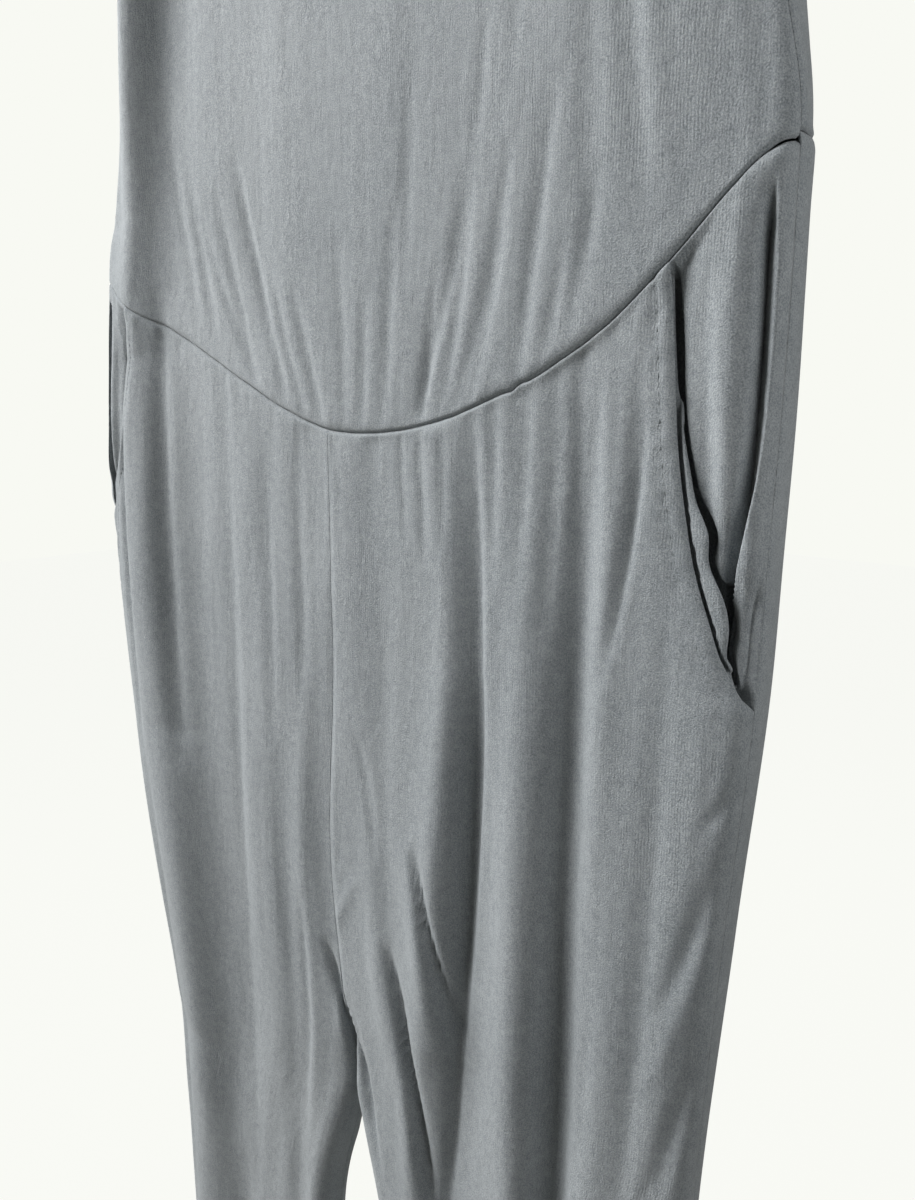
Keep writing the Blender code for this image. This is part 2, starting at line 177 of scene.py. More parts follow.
# Folds. start, end: heights below the waist seam's ends. top, middle, foot: how far
# across. width: half width. depth: inwards for a trough, minus for a ridge. lean: more of
# the width on the wearer's right of it, which makes that side the gentler one.
Fold = namedtuple("Fold", "start end top middle foot width depth lean", defaults=(0.0,))
frontFolds = table(Fold, [
    (-300, 45, -116, -126.5, -149, 14.5, -10.6),
    (-300, 50, -98, -103, -116, 17, 3.6),
    (-20, 420, -160, -145, -138, 30, -10.4),
    (-20, 620, -104, -102, -94, 30, 3.6),
    (240, 800, -128, -122, -136, 19, -9.5),
    (10, 260, -125, -128.5, -122, 6, 3.4),
    (-300, 700, 195, 190, 180, 48, 3.2),
    (-260, 20, 172, 176, 180, 14, 2.5),
    (70, 640, 131, 118.5, 115, 10, 3.4),
    (150, 520, 0, 0, 0, 20, 3.4),
    (100, 700, 106, 102, 100, 11.5, -4.4),
    (60, 560, -77, -75, -82, 8, 0.6),
    (200, 640, -34, -40, -52, 8, 2),
    (420, 960, 130, 120, 112, 13, 4.4),
    (480, 960, 65, 72, 78, 11, 4.2),
    (450, 960, -124, -114, -110, 13, 4.4),
    (520, 960, -62, -70, -78, 11, 4.2),
], lengths=7)
backFolds = table(Fold, [
    (-200, 620, 136, 150, 138, 15, 7),
    (-200, 620, -134, -158, -136, 15, 7.5),
    (20, 480, 60, 64, 74, 13, 4),
    (40, 520, -52, -58, -70, 14, 4),
    (200, 520, 0, 0, 0, 20, 5),
    (440, 960, 116, 110, 106, 12, 4.4),
    (460, 960, -112, -108, -104, 12, 4.4),
    (520, 960, 64, 72, 78, 10, 3.4),
    (500, 960, -60, -70, -78, 10, 3.4),
], lengths=7)

# Creases of the front legs, which stop at the waist seam.
legCreases = table(Fold, [
    (62, 330, 78.5, 80.5, 71.5, 6.2, 4.6, 0.4),
    (62, 330, 66, 68, 60, 8, -2.8),
    (170, 520, 81.5, 72, 56.5, 10, 4.6, -0.2),
    (190, 470, 78.5, 71, 56, 3, 2.2),
    (170, 520, 65, 56, 41, 12.5, -4.6),
    (246, 335, 52.5, 62, 70, 3.6, 2.6, -0.2),
    (252, 328, 52.5, 61.2, 69, 1.9, 3),
    (246, 335, 45, 54.5, 63, 6, -1.6),
    (300, 425, 35.5, 47.5, 57, 4, 3, -0.2),
    (304, 425, 35.5, 46.8, 56.5, 2.1, 3.6),
    (300, 425, 27, 39, 48, 6.8, -2),
    (340, 450, 60, 57, 53, 9, 3.4),
    (40, 640, 130.5, 120, 116, 6.6, 3.4, 0.2),
    (60, 420, 130.5, 119.8, 116, 4, 1.5, 0.2),
    (260, 560, 120.5, 117.5, 113, 8.4, 1.8, -0.2),
    (95, 420, 159.5, 156, 145, 4.6, 1.2, 0.2),
    (100, 300, 138.5, 136.5, 134, 5, -1),
    (70, 165, 149, 144, 135.8, 2.2, 1.8, 0.2),
    (45, 125, 145.5, 144.8, 144, 3.8, 0.8),
    (40, 110, 146.2, 142, 141.6, 1.8, -0.5),
    (45, 160, 116.5, 115, 112, 4, 1.2, 0.2),
    (42, 130, 124.5, 124, 123, 2.8, 1, 0.2),
    (52, 150, 135, 136.2, 136, 3, -0.7),
    (56, 140, 91, 89.5, 88.5, 3.4, 1.2, 0.2),
    (52, 140, 103.5, 103, 102, 3.5, 1, 0.2),
    (180, 400, 138, 134, 128, 6, 1, 0.2),
    (176, 204, 188, 182, 175, 2.2, 1.1),
    (208, 276, 181.5, 172, 162, 3, 1.3),
    (236, 304, 178, 170, 160, 3, -0.8),
    (250, 330, 182, 174, 166, 2.8, 1.1),
    (290, 370, 176, 166, 154, 3.8, 1.2),
    (350, 440, 170, 158, 148, 4.5, 1.5),
    (62, 125, 42.5, 43.5, 45, 2.2, 0.8),
    (62, 132, 52.5, 54, 56, 2.4, 1.1),
    (62, 126, 64.5, 65.5, 66.5, 2.2, 0.9),
    (210, 265, 16.5, 26.2, 29, 2.4, 1.1),
    (278, 315, 18, 8, -2, 3, -0.8),
    (318, 410, -8, 3.5, 17, 3.4, 3, 0.2),
    (322, 405, -8.5, 3, 16, 1.9, 2.2),
    (340, 425, 4, 13, 23, 3.2, 2.4, 0.2),
    (200, 420, 29, 30, 32, 6.5, -1.3),
    (130, 330, 33, 34, 37, 6, 1, 0.2),
    (65, 380, -94, -95, -93, 6.5, -0.5),
    (60, 300, -76, -76, -77, 5, 0.7, 0.2),
    (180, 480, -76, -79, -80, 6, 0.9, 0.2),
    (80, 420, -57, -52, -52, 8, -0.7),
    (80, 230, -43, -44, -43, 4.5, 1, 0.2),
    (180, 380, -18, -19.5, -22, 6, -1),
    (80, 200, -22, -21.5, -20, 4, 0.8),
    (300, 440, -23, -29, -36, 4, 1.8, 0.2),
    (-5, 260, -152, -164, -158, 4.2, 3.4),
    (250, 620, -156, -148, -143, 6, 3),
    (460, 900, 90, 96, 92, 9, 3.4, 0.2),
    (600, 960, 136, 133, 125, 7, 2.1, 0.2),
    (560, 780, 56, 50, 58, 6, 1.6),
    (640, 720, 60, 80, 110, 7, 1.1),
    (480, 900, -92, -98, -94, 9, 3.2, 0.2),
    (620, 960, -134, -132, -126, 7, 2.1, -0.2),
    (540, 800, -52, -50, -58, 6, 1.8),
    (660, 740, -64, -84, -112, 7, 1.1),
], lengths=7)

# Creases of the back legs: drag lines under the seat, and long folds down to the cuffs.
seatCreases = table(Fold, [
    (20, 380, 90, 98, 94, 8, 3, 0.2),
    (30, 260, 38, 42, 48, 6, 1.8),
    (10, 200, 120, 123, 128, 5.5, 1.8, -0.2),
    (300, 420, 20, 48, 76, 5, 3),
    (345, 440, 18, 40, 64, 4.5, 2.6),
    (400, 470, 24, 46, 74, 5, 2.2),
    (440, 860, 92, 88, 94, 9, 3.4, 0.2),
    (560, 940, 136, 132, 126, 7, 2.8, -0.2),
    (650, 760, 56, 78, 106, 6, 1.8),
    (700, 800, 118, 96, 70, 6, 1.6),
    (30, 330, -82, -90, -96, 8, 2.8, -0.2),
    (20, 300, -30, -33, -40, 6, 1.8),
    (15, 190, -110, -115, -121, 5.5, 1.8, 0.2),
    (310, 415, -20, -45, -74, 5, 3),
    (355, 450, -18, -42, -62, 4.5, 2.4),
    (410, 480, -24, -48, -72, 5, 2.2),
    (420, 880, -88, -92, -90, 9, 3.2, -0.2),
    (580, 940, -134, -130, -124, 7, 2.8, 0.2),
    (640, 750, -54, -76, -102, 6, 1.8),
], lengths=7)

# Creases of the front band, which run down to the waist seam and lean to its middle.
bandCreases = table(Fold, [
    (-30, 70, 114, 106.2, 98.5, 3.4, 1.3, 0.2),
    (-15, 80, 96.5, 85.5, 69, 3.2, 1.2, 0.2),
    (10, 76, 94.5, 86.5, 77, 2.6, 1.1, 0.2),
    (-5, 80, 78.5, 72.2, 63.5, 3.2, 1.2, 0.2),
    (-10, 83, 77.5, 65.5, 47.5, 3.2, 1.1, 0.2),
    (-5, 85, 41.2, 37.2, 33, 3.6, 1, 0.2),
    (20, 85, 62, 57, 53, 2.4, 1),
    (25, 84, 24, 22.5, 21, 3, 0.8),
    (-60, -10, 86, 83, 80, 2.6, 0.6),
    (-110, -30, 101, 99, 96, 3, 0.6),
    (-50, 30, 50, 48, 45, 3.2, 0.6),
    (-120, 22, 137.5, 144.5, 153.5, 4, -0.8),
    (-120, 22, 131, 138, 148, 4.8, 1, 0.2),
    (-80, 40, 124, 126, 128, 5, 0.8),
    (0, 52, 130, 125, 119.5, 2.8, 0.8),
    (20, 62, 118, 114, 108.5, 2.4, 0.8),
    (-40, 48, -98, -88.5, -78, 4, 1.1),
    (-25, 60, -74, -62.5, -49.5, 3.8, 1.3, 0.2),
    (-40, 74, -59.5, -44.5, -23, 3.4, 1.6, 0.2),
    (20, 83, -21, -11.5, -1, 3, 1.1),
    (10, 78, -36, -26, -13, 2.8, 1),
    (-20, 66, -88, -70, -42, 3, 1),
    (-50, 38, -112, -103, -93, 4, 1),
    (0, 84, 8, 10, 11, 3.4, 0.8),
    (-300, 10, -96, -100, -106, 7.5, -1.1),
], lengths=7)

# Soft ripples everywhere: breadth, length and depth of each size of them, how far and how
# slowly they stray sideways, and for each place how strong they are there and their seed.
Ripple = namedtuple("Ripple", "breadth length depth")
ripples = table(Ripple, [(30, 260, 1.3), (13, 150, 0.5), (6, 80, 0.15)])
rippleStray = dict(share=0.5, length=0.09)
rippling = dict(leg=(0.8, 1), seat=(0.8, 5), hip=(0.3, 8), band=(0.45, 12), bandBack=(0.7, 15))

# Small tucks at the seams: depth there, length over which they die away, and seed.
gathers = dict(
    leg=(0.0008, 0.045, 21),
    frontCuff=(0.0012, 0.035, 25),
    seat=(0.0008, 0.040, 31),
    backCuff=(0.0012, 0.035, 35),
    hip=(0.0008, 0.020, 41),
    band=(0.00055, 0.042, 51),
    bandBack=(0.00045, 0.035, 55),
)
tucks = dict(breadth=0.0062, length=0.055, fine=0.0034, fineLength=0.030, fineShare=0.35,
             fineFade=0.018, patch=0.021, patchShare=0.45, wander=0.35, wanderLength=0.030)

# Edges that roll into a seam: how deep and how wide. steep: share of the depth within that
# width, the rest within tail times as much.
lips = dict(
    seam=(0.0015, 0.0006),  # at the waist and at the cuffs
    centre=(0.0001, 0.0009),
    seat=(0.0003, 0.0009),
    side=(0.0003, 0.0007),
    opening=(0.0005, 0.0004),
    facing=(0.0008, 0.0006),
    bandSide=(0.0006, 0.0007),
    bandTop=(0.0010, 0.0012),
    cuffEnd=(0.0009, 0.0012),
)
lipShape = dict(steep=0.75, tail=3.5)
lipSteps = np.array([0, 0.3, 0.7, 1.2, 1.8, 2.6, 3.6]) / 1000  # points crowd at an edge

shape = dict(
    sideFade=0.010,  # folds die away this near to a side edge
    seamFade=0.0040,  # creases this near to a seam across,
    edgeFade=0.006,  # to one along a side,
    middleFade=0.004,  # and to the middle seams
    gentle=1.4,  # powers of the two sides of a fold that leans by more than leaning
    steep=2.3,
    leaning=0.25,
    foldEnds=0.7,  # below 1: a fold starts and ends quickly
    sway=-0.0100,  # the front's middle hangs to the wearer's right by this
    swayAt=0.275,
    swayLength=0.075,
    swayBreadth=0.055,
    swayFade=0.040,  # above the crotch
)
waistSeam = dict(
    waver=0.0004,
    waverLength=0.017,
    tremble=0.00008,
    trembleLength=0.005,
    kinks=((0.0006, 0.0965, 0.0022), (-0.0006, 0.1005, 0.0020)),  # height, place and width
    calmFrom=0.165,  # all of that dies away between these two
    calmTo=0.190,
)


def ease(start, end, at):
    t = np.clip((at - start) / (end - start), 0, 1)
    return t * t * (3 - 2 * t)


def bump(at, middle, width):
    return np.exp(-(((at - middle) / width) ** 2))


def between(rows, key, name, at):
    # a column of a table, on a smooth curve through its rows
    knots = np.array([getattr(row, key) for row in rows])
    values = np.array([getattr(row, name) for row in rows])
    slopes = np.gradient(values, knots)
    at = np.clip(at, knots[0], knots[-1])
    i = np.clip(np.searchsorted(knots, at, side="right") - 1, 0, len(knots) - 2)
    span = knots[i + 1] - knots[i]
    t = (at - knots[i]) / span
    rise = 3 * t**2 - 2 * t**3
    lead = slopes[i] * (t**3 - 2 * t**2 + t) + slopes[i + 1] * (t**3 - t**2)
    return values[i] * (1 - rise) + values[i + 1] * rise + lead * span


def cloud(u, v, seed):
    # smooth random field, about -1 to 1, with one swell for each unit of u and v; a number
    # that a caller adds to u or v only picks another part of it
    size = 97
    lattice = np.random.RandomState(seed).uniform(-1, 1, (size, size))
    i = np.floor(u).astype(int)
    j = np.floor(v).astype(int)
    a = ease(0, 1, u - i)
    b = ease(0, 1, v - j)
    low = lattice[i % size, j % size] * (1 - a) + lattice[(i + 1) % size, j % size] * a
    high = lattice[i % size, (j + 1) % size] * (1 - a) + lattice[(i + 1) % size, (j + 1) % size] * a
    return low * (1 - b) + high * b


def ring(side, below):
    # the outline's sizes at a height
    sizes = {name: between(rings, "below", name, below) for name in Ring._fields[1:]}
    sizes["edge"] = sizes["left"] if side > 0 else sizes["right"]
    under = ease(cut["crotch"] - cut["riseTurn"], cut["crotch"], below)
    legs = ease(0, cut["legStart"], below - cut["crotch"])
    sizes["inner"] = np.maximum(sizes["inner"] * legs, cut["gap"] / 2)
    sizes["turn"] = np.maximum(cut["inseamTurn"] * under, 1e-6)  # never quite none
    sizes["under"] = under
    return sizes


def runLength(size, face):
    # lengths of the turn at the inner edge, the flat and the turn at the side
    drop = size["side"] - size[face]
    tuck = drop * size["under"]
    inner = math.pi / 2 * np.sqrt((size["turn"] ** 2 + tuck**2) / 2)
    outer = math.pi / 2 * np.sqrt((cut["edgeTurn"] ** 2 + drop**2) / 2)
    flat = size["edge"] - cut["edgeTurn"] - size["inner"] - size["turn"]
    return tuck, drop, inner, flat, outer


def faceLength(size, face):
    return sum(runLength(size, face)[2:])


def facePoint(size, face, run):
    tuck, drop, inner, flat, outer = runLength(size, face)
    first = np.clip(run / inner, 0, 1) * math.pi / 2
    last = np.clip((run - inner - flat) / outer, 0, 1) * math.pi / 2
    x = size["inner"] + size["turn"] * (1 - np.cos(first))
    x = x + np.clip(run - inner, 0, flat) + cut["edgeTurn"] * np.sin(last)
    y = size[face] + tuck * (1 - np.sin(first)) + drop * (1 - np.cos(last))
    return x, y


def foldDepth(folds, across, below):
    total = np.zeros(np.broadcast(across, below).shape)
    for fold in folds:
        t = np.clip((below - fold.start) / (fold.end - fold.start), 0, 1)
        path = fold.top * (1 - t) ** 2 + fold.foot * t**2
        path = path + (2 * fold.middle - (fold.top + fold.foot) / 2) * 2 * t * (1 - t)
        off = (across - path) / fold.width
        gentle = off * fold.lean <= 0
        off = np.abs(off) / np.where(off < 0, 1 + fold.lean, 1 - fold.lean)
        isLeaning = abs(fold.lean) > shape["leaning"]
        power = np.where(gentle, shape["gentle"], shape["steep"]) if isLeaning else 2
        total += fold.depth * np.exp(-(off**power)) * np.sin(math.pi * t) ** shape["foldEnds"]
    return total


def outline(side, run, below):
    # point of the outer surface; run goes round one half, from the inner edge by the side
    size = ring(side, below)
    frontLength = faceLength(size, "front")
    frontX, frontY = facePoint(size, "front", run)
    backX, backY = facePoint(size, "back", frontLength + faceLength(size, "back") - run)
    isFront = run <= frontLength
    x = np.where(isFront, frontX, backX)
    y = np.where(isFront, frontY, backY)
    calm = ease(0, shape["sideFade"], size["edge"] - x)
    calm = calm * (1 - size["under"] * (1 - ease(0, shape["sideFade"], x - size["inner"])))
    pushFront = foldDepth(frontFolds, side * x, below)
    pushBack = foldDepth(backFolds, side * x, below)
    y = y + calm * np.where(isFront, pushFront, -pushBack)
    sway = shape["sway"] * bump(below, shape["swayAt"], shape["swayLength"])
    sway = sway * ease(cut["crotch"], cut["crotch"] - shape["swayFade"], below)
    sway = sway * bump(x, 0, shape["swayBreadth"]) * isFront
    return np.stack([side * x + sway, y, waistZ - below + 0 * x], axis=-1)


def surface(side, run, below, depth):
    # point under the outer surface, square to it
    step = 1e-4
    along = outline(side, run + step, below) - outline(side, run - step, below)
    down = outline(side, run, below + step) - outline(side, run, below - step)
    normal = side * np.cross(down, along)
    normal = normal / np.linalg.norm(normal, axis=-1, keepdims=True)
    return outline(side, run, below) - normal * np.asarray(depth)[..., None]


def runOf(side, across, below):
    # distance along the front of the points that far across
    size = ring(side, below)
    inner, flat, outer = runLength(size, "front")[2:]
    beyond = np.clip((across - size["edge"] + cut["edgeTurn"]) / cut["edgeTurn"], 0, 1)
    straight = inner + np.minimum(across - size["inner"] - size["turn"], flat)
    return straight + np.arcsin(beyond) * 2 / math.pi * outer


def acrossOf(side, run, below):
    return facePoint(ring(side, below), "front", run)[0]


def sideSeam(side, below):
    size = ring(side, below)
    return faceLength(size, "front") - size["forward"]


def wholeRun(side, below):
    size = ring(side, below)
    return faceLength(size, "front") + faceLength(size, "back")


def seamBelow(side, across):
    size = waistSeam
    x = side * across
    waver = size["waver"] * cloud(x / size["waverLength"] + 40, 0 * x + 2, 71)
    waver = waver + size["tremble"] * cloud(x / size["trembleLength"] + 90, 0 * x + 5, 72)
    for height, place, width in size["kinks"]:
        waver = waver + height * bump(x, place, width)
    waver = waver * ease(size["calmTo"], size["calmFrom"], np.abs(x))
    return between(frontSeam, "across", "below", x) + waver


def openingAcross(side, below):
    return ring(side, below)["edge"] - between(pocketEdge, "below", "inset", below)


def innerRun(below):
    return cut["gap"] / 2 * ease(cut["crotch"] - cut["riseTurn"], cut["crotch"], below)


def rippled(side, run, below, place, other=0):
    # other: 1 where the left piece has ripples of its own
    strength, seed = rippling[place]
    seed += other
    total = np.zeros(np.broadcast(run, below).shape)
    for number, size in enumerate(ripples):
        stray = rippleStray["share"] * cloud(below / rippleStray["length"], below * 0 + number, seed)
        u = side * run / size.breadth + 40 + seed * 7 + stray
        total += size.depth * cloud(u, below / size.length + 20 + number * 9, seed * 11 + number)
    return strength * total


def gathered(along, away, place, side=0):
    # small tucks that start at a seam and die away from it
    size = tucks
    depth, fade, seed = gathers[place]
    seed += side
    patch = cloud(along / size["patch"] + 30, along * 0 + 3, seed + 3)
    swell = 1 - size["patchShare"] + size["patchShare"] * patch
    slow = size["wanderLength"]
    wander = size["wander"] * cloud(along / slow + 9, away / slow + 5, seed + 5)
    broad = cloud(along / size["breadth"] + 50 + wander, away / size["length"] + 4, seed)
    fine = cloud(along / size["fine"] + 20 + wander, away / size["fineLength"] + 8, seed + 7)
    fine = size["fineShare"] * fine * np.exp(-np.maximum(away, 0) / size["fineFade"])
    return depth * (swell * broad + fine) * np.exp(-np.maximum(away, 0) / fade)


def lip(away, kind):
    # an edge that rolls into its seam, steeply at first
    depth, width = lips[kind]
    steep = lipShape["steep"]
    return depth * (steep * bump(away, 0, width) + (1 - steep) * bump(away, 0, lipShape["tail"] * width))


def calmed(fromSeam, fromSide, fromMiddle=1.0):
    # 0 at a seam, 1 a little away from it
    calm = ease(0, shape["seamFade"], fromSeam) * ease(0, shape["edgeFade"], fromSide)
    return calm * ease(0, shape["middleFade"], fromMiddle)


def steps(length, step, lipFirst=True, lipLast=True):
    first = lipSteps if lipFirst else np.array([0.0])
    last = length - (lipSteps[::-1] if lipLast else np.array([0.0]))
    count = max(2, int(round((last[0] - first[-1]) / step)))
    return np.concatenate([first[:-1], np.linspace(first[-1], last[0], count + 1), last[1:]])


def widened(below, run):
    # the same height in every column
    return np.repeat(below[:, None], run.shape[1], 1)


def addObject(name, data):
    made = bpy.data.objects.new(name, data)
    bpy.context.collection.objects.link(made)
    return made


def shell(name, grid, uv, normal, closed=False):
    # one thin wall of cloth through a grid of points
    rows, columns = grid.shape[:2]
    spans = columns if closed else columns - 1
    row, column = np.meshgrid(np.arange(rows - 1), np.arange(spans), indexing="ij")
    after = (column + 1) % columns
    corners = ((row, column), (row, after), (row + 1, after), (row + 1, column))
    quads = np.stack([r * columns + c for r, c in corners], axis=-1).reshape(-1, 4)
    middle = grid[rows // 2, columns // 2]
    across = grid[rows // 2, columns // 2 + 1] - middle
    down = grid[rows // 2 + 1, columns // 2] - middle
    if np.dot(np.cross(across, down), normal) < 0:
        quads = quads[:, ::-1]
    mesh = bpy.data.meshes.new(name)
    mesh.from_pydata(grid.reshape(-1, 3).tolist(), [], quads.tolist())
    flatUv = uv.reshape(-1, 2)[quads.reshape(-1)]
    if closed:
        wraps = (quads % columns).max(axis=1) - (quads % columns).min(axis=1) > 1
        late = np.repeat(wraps, 4) & (quads.reshape(-1) % columns == 0)
        flatUv[late, 0] += uv[0, -1, 0] - uv[0, 0, 0] + (uv[0, 1, 0] - uv[0, 0, 0])
    layer = mesh.uv_layers.new(name="cloth")
    layer.data.foreach_set("uv", flatUv.astype(np.float32).reshape(-1))
    mesh.shade_smooth()
    piece = addObject(name, mesh)
    wall = piece.modifiers.new("wall", "SOLIDIFY")
    wall.thickness = cut["wall"]
    wall.offset = -1
    return piece


stitch = dict(pitch=0.0027, length=0.0020, shortest=0.85, longest=1.1, thread=0.00042, sunk=0.00004,
              start=0.006, end=0.004)
frontLeg = dict(
    step=0.0016,  # between columns
    topRows=0.0020,  # between rows down to topZone, and below it
    lowRows=0.0048,
    topZone=0.430,
    hemStart=0.0006,  # hem of the pocket opening, in from its edge
    hemStep=0.001,
    hemBreadth=0.0049,
    hemRise=0.00030,
    hemFade=(0.006, 0.002),  # above and below the opening's end
    edgeDip=0.0012,  # the hem leans in towards its edge
    dipWidth=0.0100,
    dipFade=(0.001, 0.012),  # under the waist seam
    pucker=0.00022,
    puckerLength=0.0036,
    puckerBreadth=0.0040,
    puckerAt=0.0042,
    puckerWidth=0.0035,
    stitchDip=0.00060,
    stitchWidth=0.0009,
    dimple=0.4,  # share of the dip that comes and goes with each stitch
)


def pocketCorner(side):
    # where the opening meets the waist seam
    below = cut["pocketTop"]
    for _ in range(6):
        below = seamBelow(side, openingAcross(side, below))
    return float(openingAcross(side, below))


def legRows(size):
    # from the waist seam to the hem, closer together at the top
    upper = steps(size["topZone"], size["topRows"], lipLast=False)
    lower = size["topZone"] + steps(hem - size["topZone"], size["lowRows"], lipFirst=False)
    return np.concatenate([upper, lower[1:]])


def frontLegGrid(side):
    size = frontLeg
    columns = steps(pocketCorner(side) - cut["gap"] / 2, size["step"])
    start = seamBelow(side, cut["gap"] / 2 + columns) + cut["gap"] / 2
    share = (legRows(size) / hem)[:, None]
    below = start * (1 - share) + (hem - cut["gap"] / 2) * share
    last = below[:, -1]
    seam = sideSeam(side, last) - cut["gap"] / 2
    outer = np.minimum(runOf(side, openingAcross(side, last), last), seam)
    outer = np.where(last > cut["pocketEnd"], seam, outer)
    first = innerRun(below[:, :1])
    return first + (outer[:, None] - first) * columns / columns[-1], below


def hemmed(side, below, fromEdge, underSeam):
    # the opening's turned hem: a low band with puckers, and a stitched groove along it
    size = frontLeg
    onHem = ease(size["hemStart"], size["hemStart"] + size["hemStep"], fromEdge)
    onHem = onHem * (1 - ease(size["hemBreadth"] - size["hemStep"], size["hemBreadth"], fromEdge))
    puckers = cloud(below / size["puckerLength"] + 11, fromEdge / size["puckerBreadth"], 81 + side)
    dip = size["edgeDip"] * (1 - ease(0, size["dipWidth"], fromEdge)) * ease(*size["dipFade"], underSeam)
    dimples = 1 - size["dimple"] + size["dimple"] * np.cos(2 * math.pi * below / stitch["pitch"])
    depth = lip(fromEdge, "opening") - size["hemRise"] * onHem + dip
    depth += size["pucker"] * puckers * bump(fromEdge, size["puckerAt"], size["puckerWidth"])
    return depth + size["stitchDip"] * dimples * bump(fromEdge, size["hemBreadth"], size["stitchWidth"])


def frontLegDepth(side, run, below):
    across = acrossOf(side, run, below)
    underSeam = below - seamBelow(side, np.minimum(across, pocketCorner(side)))
    fromEdge = run[:, -1:] - run
    fromMiddle = run - run[:, :1]
    depth = foldDepth(legCreases, side * across, below)
    depth += rippled(side, run, below, "leg", side > 0)
    depth += gathered(side * across, underSeam, "leg", side)
    depth += gathered(side * across, hem - below, "frontCuff", side)
    depth = depth * calmed(underSeam, fromEdge, fromMiddle)
    depth += lip(underSeam, "seam") + lip(fromMiddle, "centre") + lip(hem - below, "seam")
    above, under = frontLeg["hemFade"]
    isOpening = 1 - ease(cut["pocketEnd"] - above, cut["pocketEnd"] + under, below)
    opening = isOpening * hemmed(side, below, fromEdge, underSeam)
    return depth + opening + (1 - isOpening) * lip(fromEdge, "side")


backLeg = dict(step=0.0026, breadth=0.19, topRows=0.0032, lowRows=0.0048, topZone=0.470)


def backGrid(side, below, size, lipLast):
    # from the side seam round the back to the middle
    start = sideSeam(side, below) + cut["gap"] / 2
    end = wholeRun(side, below) - innerRun(below)
    columns = steps(size["breadth"], size["step"], lipLast=lipLast)
    run = start[:, None] + (end - start)[:, None] * columns / columns[-1]
    return run, widened(below, run)


def backLegGrid(side):
    below = cut["gap"] / 2 + legRows(backLeg) / hem * (hem - cut["gap"])
    return backGrid(side, below, backLeg, True)


def backLegDepth(side, run, below):
    fromSide = run - run[:, :1]
    fromMiddle = run[:, -1:] - run
    across = facePoint(ring(side, below), "back", wholeRun(side, below) - run)[0]
    depth = foldDepth(seatCreases, side * across, below)
    depth += rippled(side, run, below, "seat", side > 0)
    depth += gathered(side * run, below, "seat", side)
    depth += gathered(side * run, hem - below, "backCuff", side)
    depth = depth * calmed(below, fromSide, fromMiddle) + lip(below, "seam") + lip(hem - below, "seam")
    return depth + lip(fromSide, "side") + lip(fromMiddle, "seat")


hipPiece = dict(
    columns=124,
    rows=130,
    length=0.165,
    nearSide=0.002,  # its last column, in from the side edge
    crowd=0.0040,  # columns crowd this near to the facing's edge
    knots=(0.0, 0.24, 0.46, 1.0),  # shares of the columns that end there
    margin=0.001,  # room left beside them, and towards the bag
    bagMargin=0.006,
    turn=(0.002, 0.008),  # insets between which it turns towards the side seam
    dropFade=(0.004, 0.030),  # insets between which the bag's foot drops
    base=0.0042,  # depth at the opening's edge, and length over which it comes up
    baseRun=0.015,
    start=0.006,  # under the waist seam, where the mouth starts to open
    cover=0.0078,  # depth behind the front leg, near the opening and far from it
    edge=0.0030,
    coverFade=0.004,
    edgeFade=(0.010, 0.030),
    pouch=0.0046,  # how much deeper the bag hangs between
    pouchFade=(0.004, 0.040),
    pouchReach=(0.040, 0.055),
    creaseDepth=0.0080,
    creaseWidth=0.0013,
    creaseStart=(0.004, 0.030),
    steepness=6,
    shoulder=0.0012,  # the cloth stands lower on the front side of the crease
    shoulderWidth=0.010,
    slant=0.5,
    sideFade=0.0022,
    # long soft rumples: inset, width and depth of each
    stripes=((0.0215, 0.0030, 0.0007), (0.0145, 0.0035, -0.0006), (0.0275, 0.0025, -0.0004)),
    stripeLean=0.25,  # they close in by this on stripeFoot, between the heights of stripeTurn
    stripeFoot=0.010,
    stripeTurn=(0.040, 0.110),
    lowStripes=((0.0010, 0.0018, 0.0008), (0.0058, 0.0016, -0.0005)),
    lowStart=(0.085, 0.125),  # heights between which the low ones come in
)


def facingInset(below):
    return between(pocketEdge, "below", "inset", below) - between(mouth, "below", "proud", below)


def hipGrid(side):
    size = hipPiece
    first, last = cut["bagReach"], size["nearSide"]
    share = np.linspace(0, 1, size["columns"])
    rows = np.linspace(lipSteps[-1], size["length"], size["rows"])
    rows = np.concatenate([lipSteps[:-1], rows]) / size["length"]
    insets = np.repeat(np.linspace(first, last, size["columns"])[None, :], len(rows), 0)
    below = np.full(insets.shape, 0.05)  # a guess, which each round brings closer
    for _ in range(10):
        start = seamBelow(side, ring(side, below[0])["edge"] - insets[0]) + cut["gap"] / 2
        end = cut["pocketEnd"] + cut["bagDrop"] * ease(*size["dropFade"], insets[-1]) - cut["gap"]
        below = start * (1 - rows[:, None]) + end * rows[:, None]
        middle = np.clip(facingInset(below[:, -20]), last + size["margin"], first - size["bagMargin"])
        near = np.clip(middle - size["crowd"], last + size["margin"] / 2, None)
        far = middle + size["crowd"]
        insets = np.stack([np.interp(share, size["knots"], (first, f, n, last)) for f, n in zip(far, near)])
    run = runOf(side, ring(side, below)["edge"] - insets, below)
    turnEnd, turnStart = size["turn"]
    turned = np.clip((turnStart - insets) / (turnStart - turnEnd), 0, 1)
    limit = (sideSeam(side, below[:, -1]) - cut["gap"] / 2)[:, None]
    return run + (limit - run[:, -1:]) * turned, below, insets, start


